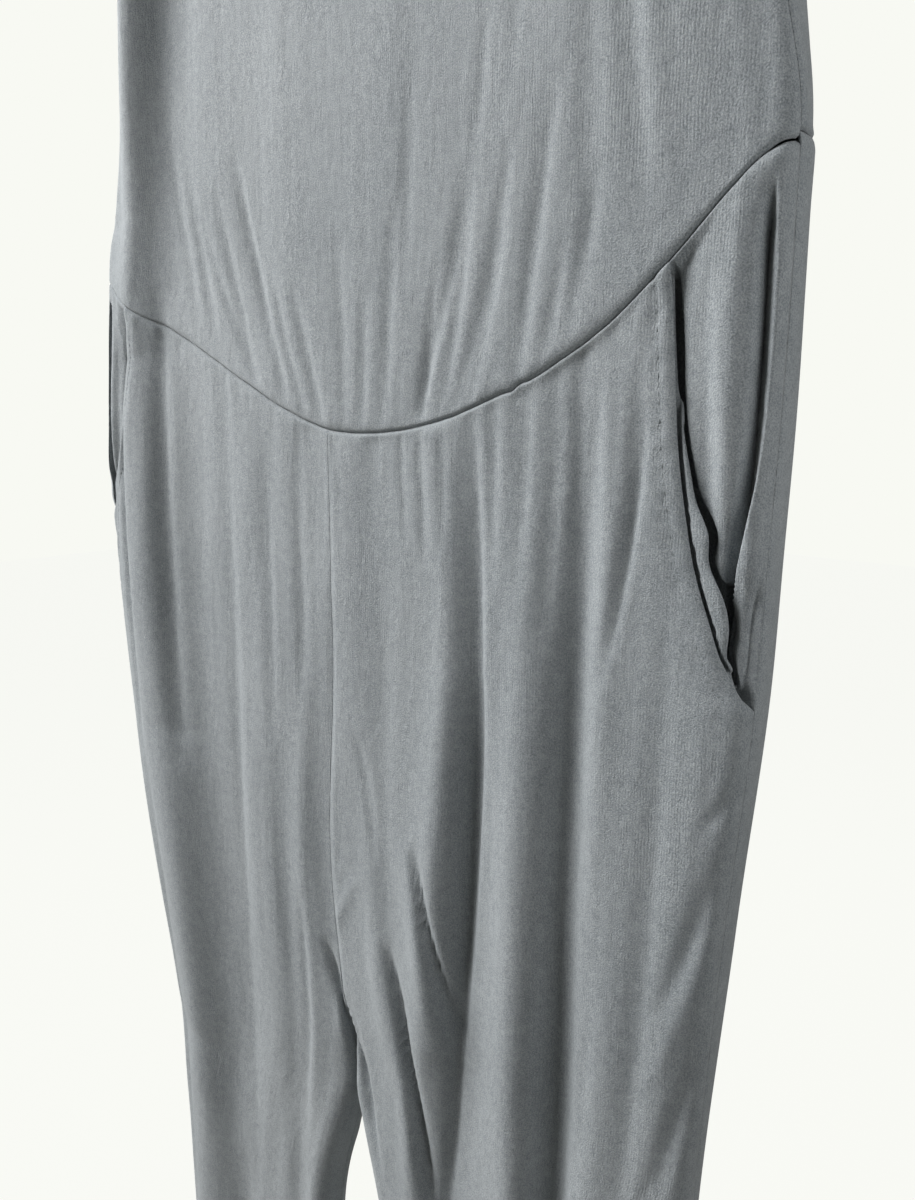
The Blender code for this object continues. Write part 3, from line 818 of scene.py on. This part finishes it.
def hipDepth(side, run, below, insets, start):
    # depth, and the run bent so that the crease leans
    size = hipPiece
    past = facingInset(below) - insets
    under = below - start
    fromSide = run[:, -1:] - run
    away = past / between(mouth, "below", "gap", below)
    base = size["base"] * (1 - ease(0, size["baseRun"], past))
    dive = np.maximum(between(mouth, "below", "depth", below) - size["base"], 0)
    opened = (base + dive * (1 - ease(0, 1, away))) * ease(0, size["start"], under)
    closed = ease(*size["edgeFade"], -past)
    hidden = size["cover"] + (size["edge"] - size["cover"]) * closed
    covered = 1 - ease(-size["coverFade"], 0, past)
    depth = np.maximum(opened, hidden * covered)
    pouch = size["pouch"] * ease(*size["pouchFade"], under) * (1 - ease(*size["pouchReach"], insets))
    depth += pouch * covered * closed
    setIn = ease(*size["creaseStart"], under)
    before = insets - between(hipCrease, "below", "left" if side > 0 else "right", below)
    steep = np.exp(-np.abs(before / size["creaseWidth"]) ** size["steepness"])
    groove = np.where(before > 0, bump(before, 0, size["creaseWidth"]), steep)
    groove = size["creaseDepth"] * setIn * groove * (1 - covered)
    shoulder = np.where(before > 0, ease(size["shoulderWidth"], 0, before) ** 2, steep)
    depth += groove + size["shoulder"] * setIn * shoulder
    for inset, width, deep in size["stripes"]:
        place = inset - size["stripeLean"] * (inset - size["stripeFoot"]) * ease(*size["stripeTurn"], below)
        depth += deep * setIn * (1 - covered) * bump(insets, place, width)
    for inset, width, deep in size["lowStripes"]:
        depth += deep * ease(*size["lowStart"], below) * (1 - covered) * bump(insets, inset, width)
    calm = ease(0, shape["seamFade"], under)
    depth += calm * gathered(side * insets, under, "hip", side)
    depth += calm * rippled(side, run, below, "hip") * (1 - covered)
    fade = ease(0, size["sideFade"], fromSide)
    depth = depth * fade + lip(under, "seam") + lip(fromSide, "side")
    return depth, run + size["slant"] * groove * fade


facingPiece = dict(
    breadth=0.014,
    depth=0.0008,
    rows=170,
    step=0.0004,
    startGap=0.003,  # inside the opening's ends
    endGap=0.002,
    tucked=0.0008,  # behind the hem where it does not show
    showing=0.001,
    seamGap=0.001,
    groove=0.0018,  # between it and the hem
    grooveAt=0.0002,
    grooveWidth=0.0006,
    wave=0.0003,
    waveLength=0.012,
    waveBreadth=0.010,
)


def facingGrid(side):
    size = facingPiece
    below = np.linspace(cut["pocketTop"] + size["startGap"], cut["pocketEnd"] - size["endGap"], size["rows"])
    edge = runOf(side, openingAcross(side, below), below)
    proud = between(mouth, "below", "proud", below)
    last = edge + proud - size["tucked"] * (1 - ease(0, size["showing"], proud))
    share = steps(size["breadth"], size["step"], lipFirst=False) / size["breadth"]
    first = edge - size["breadth"]
    run = first[:, None] + (last - first)[:, None] * share
    limit = sideSeam(side, below)[:, None] - size["seamGap"]
    return np.minimum(run, limit), widened(below, run)


def facingDepth(side, run, below):
    size = facingPiece
    fromEdge = run[:, -1:] - run
    past = run - runOf(side, openingAcross(side, below), below)
    dip = frontLeg["edgeDip"] * (1 - ease(0, frontLeg["dipWidth"], np.abs(past)))
    beside = bump(past, size["grooveAt"], size["grooveWidth"])
    dip = dip + size["groove"] * np.where(past < size["grooveAt"], 1, beside)
    wave = size["wave"] * cloud(below / size["waveLength"] + 3, fromEdge / size["waveBreadth"], 61 + side)
    return size["depth"] + dip + lip(fromEdge, "facing") + wave


frontBand = dict(step=0.0017, rows=0.0020, height=0.22, lean=2.2)  # lean: of its gathers


def frontBandGrid(side):
    size = frontBand
    below = np.array([0.0])  # a guess, which each round brings closer
    for _ in range(5):
        reach = sideSeam(side, below) - cut["gap"] / 2
        below = seamBelow(side, acrossOf(side, reach, below))
    foot = steps(float(reach[0]), size["step"], lipFirst=False)
    lower = np.full(len(foot), 0.05)  # a guess, as above
    for _ in range(8):
        lower = seamBelow(side, acrossOf(side, foot, lower))
    lower = lower - cut["gap"] / 2
    rows = steps(size["height"], size["rows"])
    share = (rows / rows[-1])[:, None]
    below = bandTop * (1 - share) + lower * share
    outer = sideSeam(side, below[:, -1]) - cut["gap"] / 2
    return foot * (outer / foot[-1])[:, None], below, lower


def frontBandHalf(side):
    # points from the middle to the side, with how far across and below each was cut
    run, below, lower = frontBandGrid(side)
    across = acrossOf(side, run, below)
    overSeam = lower - below
    fromSide = run[:, -1:] - run
    depth = foldDepth(bandCreases, side * across, below)
    depth += rippled(1, side * run, below, "band")
    lean = side * across * (1 + frontBand["lean"] * overSeam)
    depth += gathered(lean, overSeam, "band")
    depth = depth * calmed(overSeam, fromSide) + lip(overSeam, "seam")
    depth += lip(below - bandTop, "bandTop") + lip(fromSide, "bandSide")
    return surface(side, run, below, depth), side * run, below


backBand = dict(step=0.0032, rows=0.0034, breadth=0.18)


def backBandHalf(side):
    rows = steps(-bandTop, backBand["rows"])
    below = bandTop + rows / rows[-1] * (-bandTop - cut["gap"] / 2)
    run, below = backGrid(side, below, backBand, False)
    fromSide = run - run[:, :1]
    fromMiddle = run[:, -1:] - run
    depth = rippled(1, -side * fromMiddle, below, "bandBack")
    depth += gathered(side * fromMiddle, -below, "bandBack")
    depth = depth * calmed(-below, fromSide) + lip(-below, "seam")
    depth += lip(below - bandTop, "bandTop") + lip(fromSide, "bandSide")
    return surface(side, run, below, depth)[:, ::-1], side * fromMiddle[:, ::-1], below


cuff = dict(rows=0.0030, columns=120, sunk=0.0002, wave=0.0005, waves=11, waveStart=0.010, waveFade=0.03)


def cuffGrid(side):
    rows = steps(cuffEnd - hem, cuff["rows"])
    below = hem + cut["gap"] / 2 + rows / rows[-1] * (cuffEnd - hem - cut["gap"] / 2)
    run = wholeRun(side, below)[:, None] * np.linspace(0, 1, cuff["columns"] + 1)[:-1]
    return run, widened(below, run)


def cuffDepth(side, run, below):
    fromTop = below - below[:1]
    turn = run / run[:, -1:] * 2 * math.pi
    wavy = cuff["wave"] * np.sin(cuff["waves"] * turn + side)
    wavy = wavy * ease(0, cuff["waveStart"], fromTop) * np.exp(-fromTop / cuff["waveFade"])
    return lip(fromTop, "seam") + lip(below[-1:] - below, "cuffEnd") + wavy + cuff["sunk"]


pieces = {}


def hang(node, points, run, below, towards, closed=False):
    pieces[node] = shell("jersey_" + node, points, np.stack([run, -below], axis=-1), towards, closed)


def hangBand(node, halfOf, towards):
    # the right half turned round, then the left half, which has their shared column
    left, right = halfOf(1), halfOf(-1)
    left[0][:, 0, 0] = 0
    whole = [np.concatenate([r[:, :0:-1], l], axis=1) for l, r in zip(left, right)]
    hang(node, *whole, towards)


forwards, backwards = (0, -1, 0), (0, 1, 0)
for side, name in sides:
    run, below = frontLegGrid(side)
    points = surface(side, run, below, frontLegDepth(side, run, below))
    hang("leg_front_" + name, points, side * run, below, forwards)
    run, below = backLegGrid(side)
    points = surface(side, run, below, backLegDepth(side, run, below))
    hang("leg_back_" + name, points, side * run, below, backwards)
    run, below, insets, start = hipGrid(side)
    depth, bent = hipDepth(side, run, below, insets, start)
    hang("hip_" + name, surface(side, bent, below, depth), side * run, below, forwards)
    run, below = facingGrid(side)
    points = surface(side, run, below, facingDepth(side, run, below))
    hang("pocket_facing_" + name, points, side * run, below, forwards)
    run, below = cuffGrid(side)
    points = surface(side, run, below, cuffDepth(side, run, below))
    outwards = points[len(points) // 2, cuff["columns"] // 2] - points[len(points) // 2].mean(axis=0)
    hang("cuff_" + name, points, side * run, below, outwards, closed=True)
hangBand("band_front", frontBandHalf, forwards)
hangBand("band_back", backBandHalf, backwards)
print("pieces cut and hung:", sum(len(piece.data.polygons) for piece in pieces.values()), "faces")


def linear(code):
    # sRGB hex to linear
    parts = [int(code[i:i + 2], 16) / 255 for i in (1, 3, 5)]
    return tuple(c / 12.92 if c <= 0.04045 else ((c + 0.055) / 1.055) ** 2.4 for c in parts) + (1.0,)


def addNode(tree, kind, values=None, **settings):
    node = tree.nodes.new(kind)
    for name, value in settings.items():
        setattr(node, name, value)
    for name, value in (values or {}).items():
        socket = node.inputs[name]
        if isinstance(value, bpy.types.NodeSocket):
            tree.links.new(value, socket)
        else:
            socket.default_value = value
    return node


def math2(tree, operation, first, second=0.0):
    return addNode(tree, "ShaderNodeMath", {0: first, 1: second}, operation=operation).outputs[0]


jersey = dict(
    colour="#757c80",  # mid-grey, a little cool; the low end of the mix, which the grain term also lays in the nap's hollows as painted shade
    paleFlecksAndNapHighlight="#a9aeb1",  # the pale end: the yarn's pale flecks and slow tone, and painted highlight on the raised tips of the nap
    wale=0.00105,  # one knit column; real single jersey is finer, drawn this coarse to show
    waleHeight=0.00006,
    waleDrift=9.0,  # how far the wales wander, in radians of a wale
    driftPerMetre=90.0,  # swells 11 mm apart
    patchPerMetre=22.0,  # the wales show in patches 45 mm across
    grain=0.00048,  # brushed nap; the same noise raises the relief and, through grainContrast, paints highlight on the tips and shade in the hollows
    grainHeight=0.00028,
    grainContrast=2.2,
    crinkleWide=0.0034,  # small rumples of washed cloth, longer down it than across
    crinkleLong=0.009,
    crinkleHeight=0.00035,
    melangePerMetre=260.0,  # flecks of the yarn, 4 mm apart
    melangeContrast=0.7,
    shadePerMetre=14.0,  # slow change of shade, 70 mm across
    shadeContrast=0.5,
    roughness=0.86,
    sheen=0.22,
    sheenRoughness=0.45,
    lint="#c3c6c5",
    lintPerMetre=75.0,
    lintSize=0.028,  # of the 13 mm between specks
    lintPatches=30.0,  # per metre; specks lie where their noise passes lintFrom
    lintFrom=0.60,
)


def newMaterial(name):
    material = bpy.data.materials.new(name)
    material.use_nodes = True
    material.node_tree.nodes.clear()
    return material, material.node_tree


def makeJersey():
    # brushed viscose single jersey: soft vertical wales, a faint nap and a few specks of lint
    size = jersey
    material, tree = newMaterial("viscose_jersey")
    uv = addNode(tree, "ShaderNodeUVMap", uv_map="cloth").outputs[0]
    across, down = addNode(tree, "ShaderNodeSeparateXYZ", {0: uv}).outputs[:2]
    place = addNode(tree, "ShaderNodeTexCoord").outputs["Object"]
    crinkle = addNode(tree, "ShaderNodeCombineXYZ", {
        0: math2(tree, "MULTIPLY", across, 1 / size["crinkleWide"]),
        1: math2(tree, "MULTIPLY", down, 1 / size["crinkleLong"])}).outputs[0]
    noises = dict(
        drift={"Scale": size["driftPerMetre"]},
        patch={"Scale": size["patchPerMetre"]},
        grain={"Scale": 1 / size["grain"], "Roughness": 0.55},
        crinkle={"Vector": crinkle, "Scale": 1.0, "Distortion": 0.4},
        melange={"Scale": size["melangePerMetre"], "Detail": 3.0, "Roughness": 0.6},
        shade={"Scale": size["shadePerMetre"]},
        lint={"Scale": size["lintPatches"], "Detail": 1.0},
    )
    noise = {}
    for name, values in noises.items():
        values = {"Vector": place, "Detail": 2.0, **values}
        noise[name] = addNode(tree, "ShaderNodeTexNoise", values).outputs["Fac"]
    turns = math2(tree, "MULTIPLY", across, 2 * math.pi / size["wale"])
    drift = math2(tree, "MULTIPLY", noise["drift"], size["waleDrift"])
    wave = math2(tree, "SINE", math2(tree, "ADD", turns, drift))
    wales = math2(tree, "MULTIPLY", wave, math2(tree, "MULTIPLY", noise["patch"], noise["patch"]))
    height = math2(tree, "MULTIPLY", wales, size["waleHeight"])
    for name in ("grain", "crinkle"):
        height = math2(tree, "ADD", height, math2(tree, "MULTIPLY", noise[name], size[name + "Height"]))
    relief = addNode(tree, "ShaderNodeBump", {"Height": height, "Distance": 1.0, "Strength": 1.0})
    # each noise spreads round 0.5, so it is stretched apart from there
    spread = 0.5
    # the grain term follows the nap's relief: painted highlight on its tips, painted shade in its hollows;
    # melange and shade are the yarn's own tone
    for name in ("grain", "melange", "shade"):
        part = math2(tree, "SUBTRACT", noise[name], 0.5)
        spread = math2(tree, "ADD", math2(tree, "MULTIPLY", part, size[name + "Contrast"]), spread)
    mix = addNode(tree, "ShaderNodeMix", {
        "Factor": spread, 6: linear(size["colour"]), 7: linear(size["paleFlecksAndNapHighlight"])}, data_type="RGBA")
    specks = addNode(tree, "ShaderNodeTexVoronoi", {"Vector": place, "Scale": size["lintPerMetre"]})
    few = math2(tree, "GREATER_THAN", noise["lint"], size["lintFrom"])
    small = math2(tree, "LESS_THAN", specks.outputs["Distance"], size["lintSize"])
    speck = math2(tree, "MULTIPLY", small, few)
    linted = addNode(tree, "ShaderNodeMix", {
        "Factor": speck, 6: mix.outputs[2], 7: linear(size["lint"])}, data_type="RGBA")
    shader = addNode(tree, "ShaderNodeBsdfPrincipled", {
        "Base Color": linted.outputs[2], "Roughness": size["roughness"], "Normal": relief.outputs[0],
        "Sheen Weight": size["sheen"], "Sheen Roughness": size["sheenRoughness"]})
    addNode(tree, "ShaderNodeOutputMaterial", {0: shader.outputs[0]})
    return material


# the two thread colours follow the twist's relief: the lower one is painted shade in its hollows, pale is
# painted highlight on its raised fibres
sewing = dict(twistShade="#787f82", pale="#999fa1", fibresPerMetre=2600.0, relief=0.00005, roughness=0.6)


def makeThread():
    # spun polyester sewing thread, matched to the cloth and slightly shinier; its twist is painted with
    # shade in the hollows and highlight on the raised fibres
    material, tree = newMaterial("polyester_thread")
    place = addNode(tree, "ShaderNodeTexCoord").outputs["Object"]
    twist = addNode(tree, "ShaderNodeTexNoise", {
        "Vector": place, "Scale": sewing["fibresPerMetre"], "Detail": 2.0}).outputs["Fac"]
    # the twist lays pale on the raised fibres as painted highlight and the lower colour in the hollows as
    # painted shade
    mix = addNode(tree, "ShaderNodeMix", {
        "Factor": twist, 6: linear(sewing["twistShade"]), 7: linear(sewing["pale"])}, data_type="RGBA")
    relief = addNode(tree, "ShaderNodeBump", {
        "Height": twist, "Distance": sewing["relief"], "Strength": 1.0})
    shader = addNode(tree, "ShaderNodeBsdfPrincipled", {
        "Base Color": mix.outputs[2], "Roughness": sewing["roughness"], "Normal": relief.outputs[0]})
    addNode(tree, "ShaderNodeOutputMaterial", {0: shader.outputs[0]})
    return material


cloth = makeJersey()
thread = makeThread()
for piece in pieces.values():
    piece.data.materials.append(cloth)


def stitchTree(material):
    # stitches laid along a line of points: a short thread lump at every pitch
    tree = bpy.data.node_groups.new("stitch_row", "GeometryNodeTree")
    face = tree.interface
    face.new_socket("Geometry", in_out="INPUT", socket_type="NodeSocketGeometry")
    for name in ("Pitch", "Length", "Thread"):
        face.new_socket(name, in_out="INPUT", socket_type="NodeSocketFloat")
    face.new_socket("Seed", in_out="INPUT", socket_type="NodeSocketInt")
    face.new_socket("Geometry", in_out="OUTPUT", socket_type="NodeSocketGeometry")
    source = addNode(tree, "NodeGroupInput").outputs
    curve = addNode(tree, "GeometryNodeMeshToCurve", {"Mesh": source["Geometry"]})
    even = addNode(tree, "GeometryNodeResampleCurve", {
        "Curve": curve.outputs[0], "Length": source["Pitch"]}, mode="LENGTH")
    lump = addNode(tree, "GeometryNodeMeshUVSphere", {"Segments": 6, "Rings": 5, "Radius": 0.5})
    tangent = addNode(tree, "GeometryNodeInputTangent")
    turn = addNode(tree, "FunctionNodeAlignRotationToVector", {"Vector": tangent.outputs[0]}, axis="Z")
    wobble = addNode(tree, "FunctionNodeRandomValue", {
        "Min": stitch["shortest"], "Max": stitch["longest"], "Seed": source["Seed"]}, data_type="FLOAT")
    long = math2(tree, "MULTIPLY", source["Length"], wobble.outputs[1])
    size = addNode(tree, "ShaderNodeCombineXYZ", {0: source["Thread"], 1: source["Thread"], 2: long})
    laid = addNode(tree, "GeometryNodeInstanceOnPoints", {
        "Points": even.outputs[0], "Instance": lump.outputs[0],
        "Rotation": turn.outputs[0], "Scale": size.outputs[0]})
    real = addNode(tree, "GeometryNodeRealizeInstances", {"Geometry": laid.outputs[0]})
    painted = addNode(tree, "GeometryNodeSetMaterial", {
        "Geometry": real.outputs[0], "Material": material})
    addNode(tree, "NodeGroupOutput", {0: painted.outputs[0]})
    return tree


def stitchRow(name, points, tree, seed):
    line = bpy.data.meshes.new(name + "_line")
    line.from_pydata(points.tolist(), [(i, i + 1) for i in range(len(points) - 1)], [])
    guide = addObject(name + "_guide", line)
    modifier = guide.modifiers.new("stitches", "NODES")
    modifier.node_group = tree
    values = dict(Pitch=stitch["pitch"], Length=stitch["length"], Thread=stitch["thread"], Seed=seed)
    for item in tree.interface.items_tree:
        if item.in_out == "INPUT" and item.name in values:
            modifier[item.identifier] = values[item.name]
    bpy.context.view_layer.update()
    mesh = bpy.data.meshes.new_from_object(guide.evaluated_get(bpy.context.evaluated_depsgraph_get()))
    mesh.name = name
    mesh.shade_smooth()
    bpy.data.objects.remove(guide)
    return addObject(name, mesh)


def pocketStitchLine(side):
    # along the hem's groove, between the opening's ends
    run, below = frontLegGrid(side)
    depth = frontLegDepth(side, run, below)
    start, end = cut["pocketTop"] + stitch["start"], cut["pocketEnd"] - stitch["end"]
    shown = (below[:, -1] > start) & (below[:, -1] < end)
    where = run[shown, -1] - frontLeg["hemBreadth"]
    below, depth = (
        np.array([np.interp(at, r, values) for at, r, values in zip(where, run[shown], field[shown])])
        for field in (below, depth))
    return surface(side, where, below, depth + stitch["sunk"])


tree = stitchTree(thread)
rowsOfStitches = {}
for side, name in sides:
    rowsOfStitches[name] = stitchRow("thread_pocket_" + name, pocketStitchLine(side), tree, 3 + side)
print("stitches sewn")

# fields for what a piece was cut as: width, length and area before it hung; nothing below fills them
Cut = namedtuple("Cut", "width length area")

for node, piece in pieces.items():
    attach(piece, "root")
    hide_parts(node)
for row in rowsOfStitches.values():
    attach(row, "root")

room = dict(
    floor="#767570",
    roughness=0.9,
    haze="#fdfef9",  # what the camera sees of the floor, nearly all
    hazeShare=0.94,
    wall="#f8f9f3",
    air="#f4f6f8",
    fill=0.03,
    drop=0.012,  # floor below the cuffs
    spread=6.0,
)
lights = (
    dict(name="window", place=(-1.43, -0.86, 0.74), aim=(0.0, 0.0, -0.35), size=1.3, watts=75.0),
    dict(name="room", place=(0.66, -0.10, -0.12), aim=(0.15, 0.0, -0.35), size=0.4, watts=1.45),
    dict(name="behind", place=(-0.9, 1.6, 0.6), aim=(0.0, 0.0, -0.55), size=0.8, watts=56.0),
)


def makeFloor():
    mesh = bpy.data.meshes.new("floor")
    z = cadBox[0][2] - room["drop"]
    half = room["spread"]
    corners = [(x * half, y * half, z) for x, y in ((-1, -1), (1, -1), (1, 1), (-1, 1))]
    mesh.from_pydata(corners, [], [(0, 1, 2, 3)])
    material, tree = newMaterial("matt_floor_paint")
    shader = addNode(tree, "ShaderNodeBsdfPrincipled", {
        "Base Color": linear(room["floor"]), "Roughness": room["roughness"]})
    seen = addNode(tree, "ShaderNodeLightPath").outputs["Is Camera Ray"]
    pale = addNode(tree, "ShaderNodeEmission", {"Color": linear(room["haze"]), "Strength": 1.0})
    share = math2(tree, "MULTIPLY", seen, room["hazeShare"])
    both = addNode(tree, "ShaderNodeMixShader", {0: share, 1: shader.outputs[0], 2: pale.outputs[0]})
    addNode(tree, "ShaderNodeOutputMaterial", {0: both.outputs[0]})
    mesh.materials.append(material)
    floor = addObject("floor", mesh)


def makeWorld():
    world = bpy.data.worlds.new("pale_room")
    bpy.context.scene.world = world
    world.use_nodes = True
    tree = world.node_tree
    tree.nodes.clear()
    path = addNode(tree, "ShaderNodeLightPath").outputs
    seen = math2(tree, "MAXIMUM", path["Is Camera Ray"], path["Is Glossy Ray"])
    seen = math2(tree, "MAXIMUM", seen, path["Is Transmission Ray"])
    fill = addNode(tree, "ShaderNodeBackground", {
        "Color": linear(room["air"]), "Strength": room["fill"]})
    wall = addNode(tree, "ShaderNodeBackground", {"Color": linear(room["wall"]), "Strength": 1.0})
    both = addNode(tree, "ShaderNodeMixShader", {0: seen, 1: fill.outputs[0], 2: wall.outputs[0]})
    addNode(tree, "ShaderNodeOutputWorld", {0: both.outputs[0]})


def makeLights():
    for entry in lights:
        lamp = bpy.data.lights.new(entry["name"], "AREA")
        lamp.shape = "DISK"
        lamp.size = entry["size"]
        lamp.energy = entry["watts"]
        holder = addObject(entry["name"], lamp)
        holder.location = entry["place"]
        aim = Vector(entry["aim"]) - holder.location
        holder.rotation_euler = aim.to_track_quat("-Z", "Y").to_euler()


view = dict(place=(0.29704, -0.2575, -0.2467), azimuth=42.466, elevation=11.179, lens=27.24)


def makeCamera():
    data = bpy.data.cameras.new("camera")
    data.sensor_fit = "VERTICAL"
    data.sensor_height = 36
    data.lens = view["lens"]
    data.clip_start = 0.01
    camera = addObject("camera", data)
    camera.location = view["place"]
    azimuth = math.radians(view["azimuth"])
    elevation = math.radians(view["elevation"])
    level = math.cos(elevation)
    back = Vector((math.sin(azimuth) * level, -math.cos(azimuth) * level, math.sin(elevation)))
    camera.rotation_euler = back.to_track_quat("Z", "Y").to_euler()
    bpy.context.scene.camera = camera


makeFloor()
makeWorld()
makeLights()
makeCamera()
bpy.context.scene.view_settings.view_transform = "Standard"
print("lit and framed")
